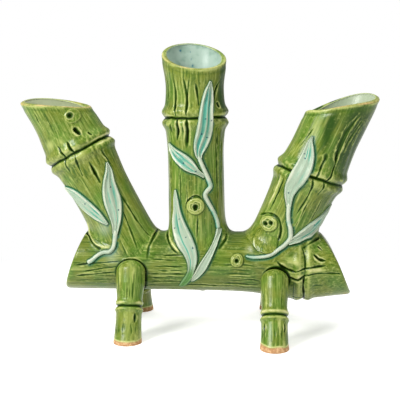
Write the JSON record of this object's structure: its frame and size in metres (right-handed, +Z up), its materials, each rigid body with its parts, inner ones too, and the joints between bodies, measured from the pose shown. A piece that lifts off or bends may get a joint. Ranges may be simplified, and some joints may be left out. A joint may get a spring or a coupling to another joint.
{
  "type": "bamboo flower holder vase",
  "caption": "Glazed earthenware flower holder shaped as a bamboo log on splayed feet, with open bamboo culms and leaves in relief.",
  "frame": {"origin": "middle of the underside of the box round the part, on the surface it stands on", "axes": "+Z up, +X along the log towards the end with the node, front of the vase towards -Y"},
  "size_m": [0.2834, 0.1374, 0.2281],
  "materials": {
    "green_glaze": "glossy translucent green glaze, darker where it pools",
    "foot_glaze": "glossy translucent green glaze over clay left bare at the soles",
    "leaf_glaze": "glossy cream glaze with pooled turquoise"
  },
  "bodies": {
    "root": {"log_body": "green_glaze", "culm_left": "green_glaze", "culm_centre": "green_glaze", "culm_right": "green_glaze", "foot_front_left": "foot_glaze", "foot_front_right": "foot_glaze", "foot_rear_left": "foot_glaze", "foot_rear_right": "foot_glaze", "left_leaf_upper": "leaf_glaze", "left_leaf_lower": "leaf_glaze", "centre_leaf_top": "leaf_glaze", "centre_leaf_side": "leaf_glaze", "centre_leaf_low": "leaf_glaze", "centre_leaf_base": "leaf_glaze", "right_leaf_upper": "leaf_glaze", "right_leaf_lower": "leaf_glaze", "left_stem": "leaf_glaze", "centre_stem": "leaf_glaze", "right_stem": "leaf_glaze", "knot_left": "green_glaze", "knot_centre": "green_glaze", "knot_right": "green_glaze", "knot_log": "green_glaze", "branch_stub": "green_glaze"}
  },
  "joints": []
}
